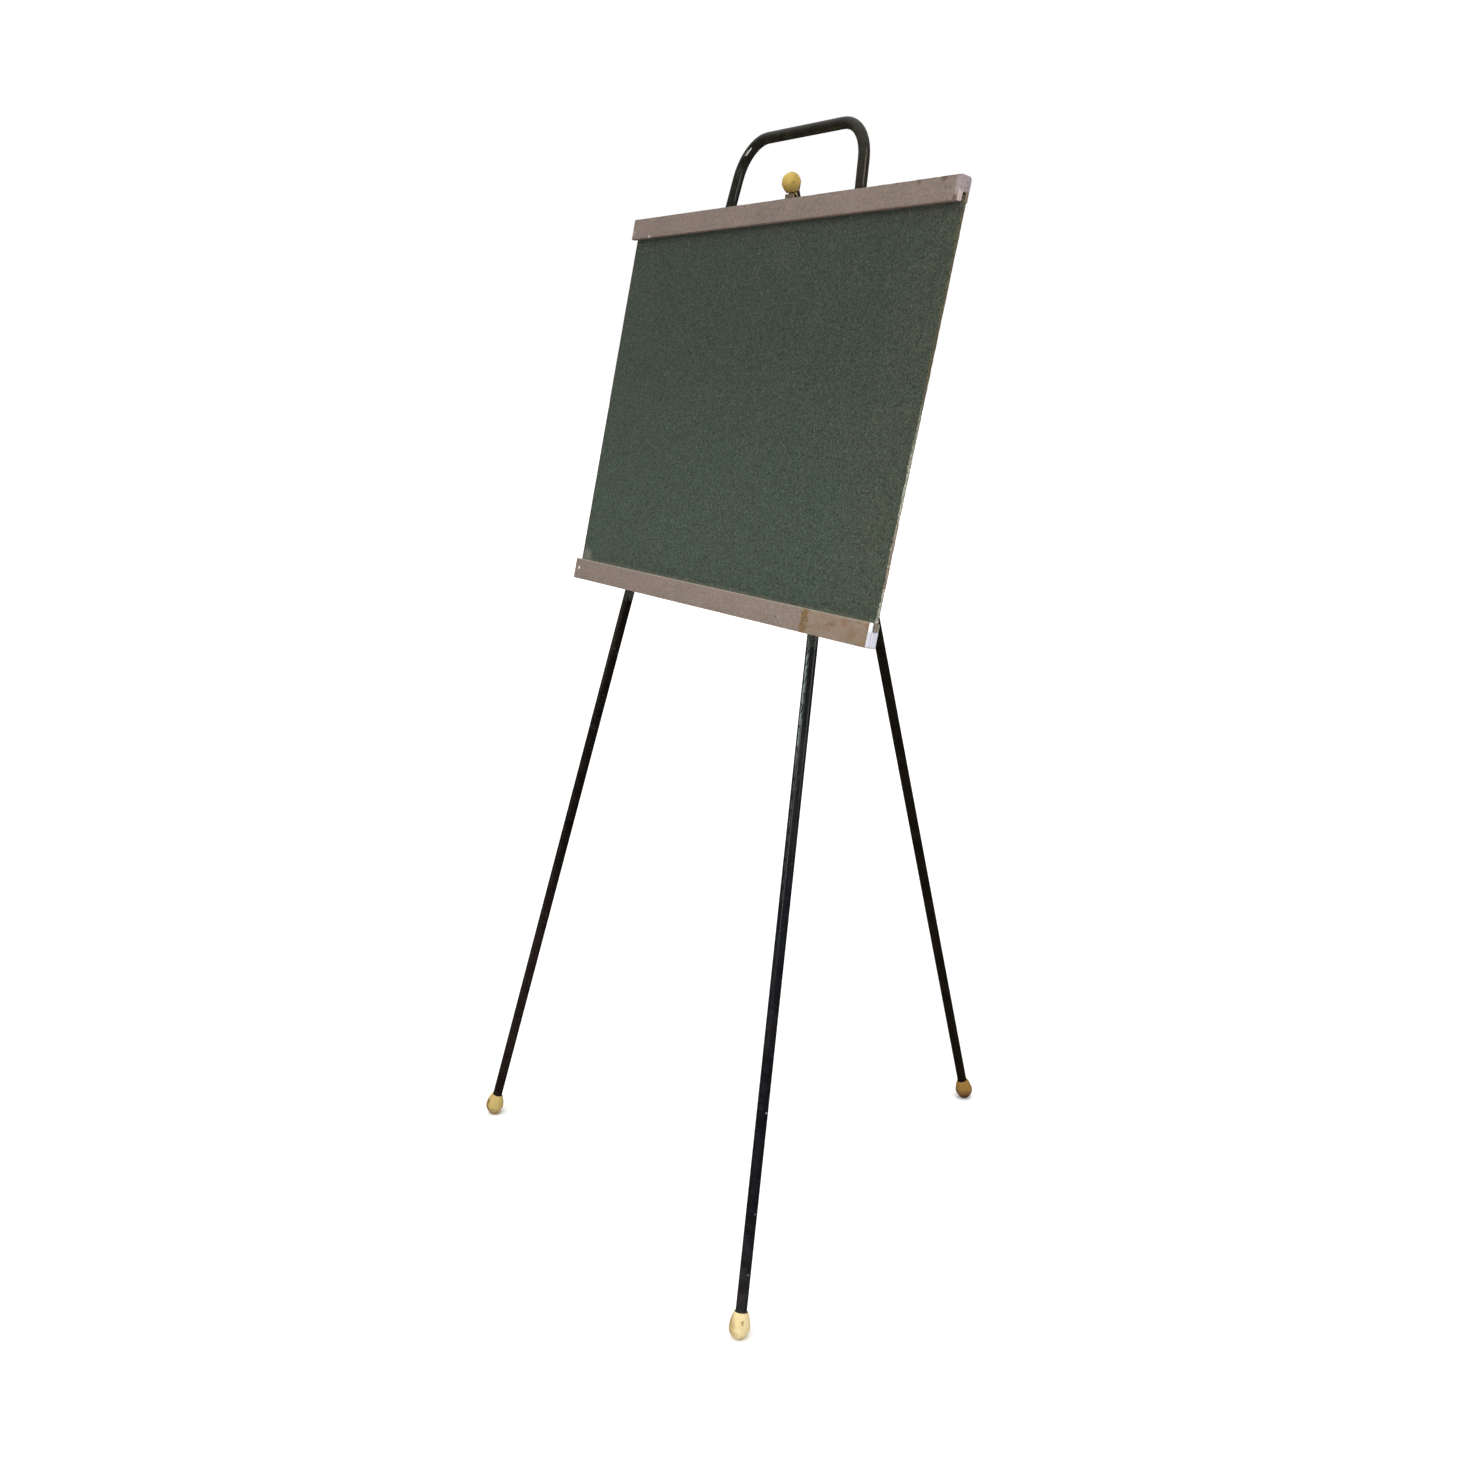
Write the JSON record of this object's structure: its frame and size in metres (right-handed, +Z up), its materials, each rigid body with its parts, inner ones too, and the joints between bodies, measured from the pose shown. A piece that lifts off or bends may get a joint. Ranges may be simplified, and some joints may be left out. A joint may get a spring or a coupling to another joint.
{
  "type": "menu chalkboard easel",
  "caption": "Folding tripod floor easel of bent tube with a carrying handle and a chalkboard panel held in grooved rails, for showing a menu.",
  "frame": {"origin": "on the floor, at the middle of the rectangle the three feet stand in", "axes": "+X along the rails, +Y from the board towards the rear leg, +Z up"},
  "size_m": [0.7693, 0.7439, 1.5194],
  "materials": {
    "black_lacquer": "semi-gloss black lacquer, worn",
    "bare_steel": "dull zinc-plated steel",
    "taupe_paint": "wood painted matt taupe, stained and chipped",
    "yellow_bead": "turned wood painted pale yellow, dirty and chipped",
    "chalkboard_green": "hardboard with matt grey-green chalkboard paint, raw edges"
  },
  "bodies": {
    "frame": {"front_frame": "black_lacquer", "cross_bar": "black_lacquer", "left_hinge_ear": "black_lacquer", "right_hinge_ear": "black_lacquer", "pivot_bolt": "bare_steel", "left_spacer": "bare_steel", "right_spacer": "bare_steel", "pivot_washer": "bare_steel", "pivot_nut": "bare_steel", "top_rail": "taupe_paint", "bottom_rail": "taupe_paint", "stop_block": "taupe_paint", "top_rail_left_screw": "bare_steel", "top_rail_right_screw": "bare_steel", "bottom_rail_left_screw": "bare_steel", "bottom_rail_right_screw": "bare_steel", "left_foot": "yellow_bead", "right_foot": "yellow_bead"},
    "rear_leg": {"rear_leg": "black_lacquer", "rear_foot": "yellow_bead", "top_knob": "yellow_bead"},
    "board": {"chalkboard": "chalkboard_green"}
  },
  "joints": [
    {"name": "rear_leg_fold", "type": "hinge", "parent": "frame", "child": "rear_leg", "pos_m": [-0.003, -0.03118, 1.39776], "axis": [-1, 0, 0], "range_deg": [0, 30.4]},
    {"name": "board_slide", "type": "slide", "parent": "frame", "child": "board", "axis": [1, 0, 0], "range_m": [-0.36, 0.36]}
  ]
}
